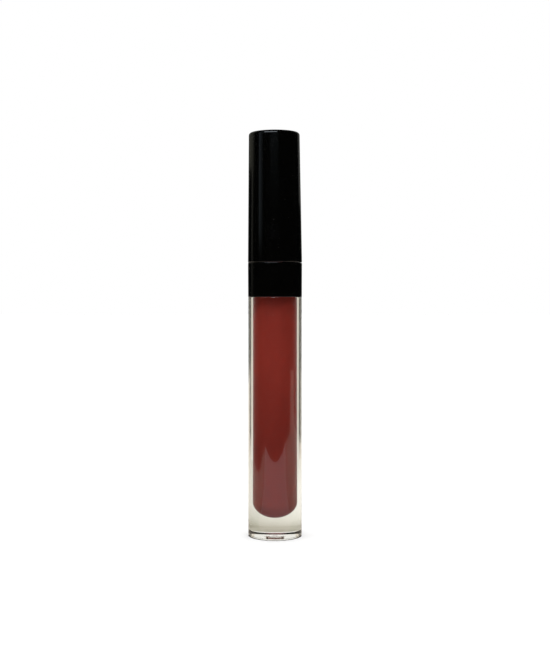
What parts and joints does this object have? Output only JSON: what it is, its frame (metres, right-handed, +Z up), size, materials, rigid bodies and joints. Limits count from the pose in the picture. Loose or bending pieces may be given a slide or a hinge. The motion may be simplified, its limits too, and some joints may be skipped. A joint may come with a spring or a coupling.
{
  "type": "lip gloss tube",
  "caption": "Round clear tube of red lip gloss with a black collar and a black screw cap that carries a wand with a slanted flocked applicator.",
  "frame": {"origin": "centre of the base, on the surface that the tube stands on", "axes": "+Z up the tube, from the base to the cap; -Y is the front; the outside is round"},
  "size_m": [0.016, 0.016, 0.1191],
  "materials": {
    "clear_plastic": "polished",
    "lip_gloss": "gloss",
    "wiper_plastic": "satin",
    "black_gloss": "polished",
    "washer_foam": "matte",
    "black_liner": "satin",
    "rod_plastic": "gloss",
    "tip_plastic": "satin",
    "flocking": "matte"
  },
  "bodies": {
    "bottle_body": {"bottle": "clear_plastic", "gloss_fill": "lip_gloss", "wiper": "wiper_plastic", "collar": "black_gloss"},
    "washer_body": {"cap_washer": "washer_foam"},
    "cap_body": {"outer_cap": "black_gloss", "inner_cap": "black_liner", "wand_rod": "rod_plastic", "applicator_tip": "tip_plastic", "tip_flocking": "flocking"}
  },
  "joints": [
    {"name": "cap_lift", "type": "slide", "parent": "bottle_body", "child": "washer_body", "axis": [0, 0, 1], "range_m": [0, 0.087], "deforming": ["wiper", "gloss_fill"]},
    {"name": "cap_turn", "type": "hinge", "parent": "washer_body", "child": "cap_body", "pos_m": [0, 0, 0.0924], "axis": [0, 0, 1], "range_deg": [0, 10440]}
  ],
  "couplings": [
    {"joint": "cap_lift", "follows": "cap_turn", "m_per_rad": 0.00047746}
  ]
}
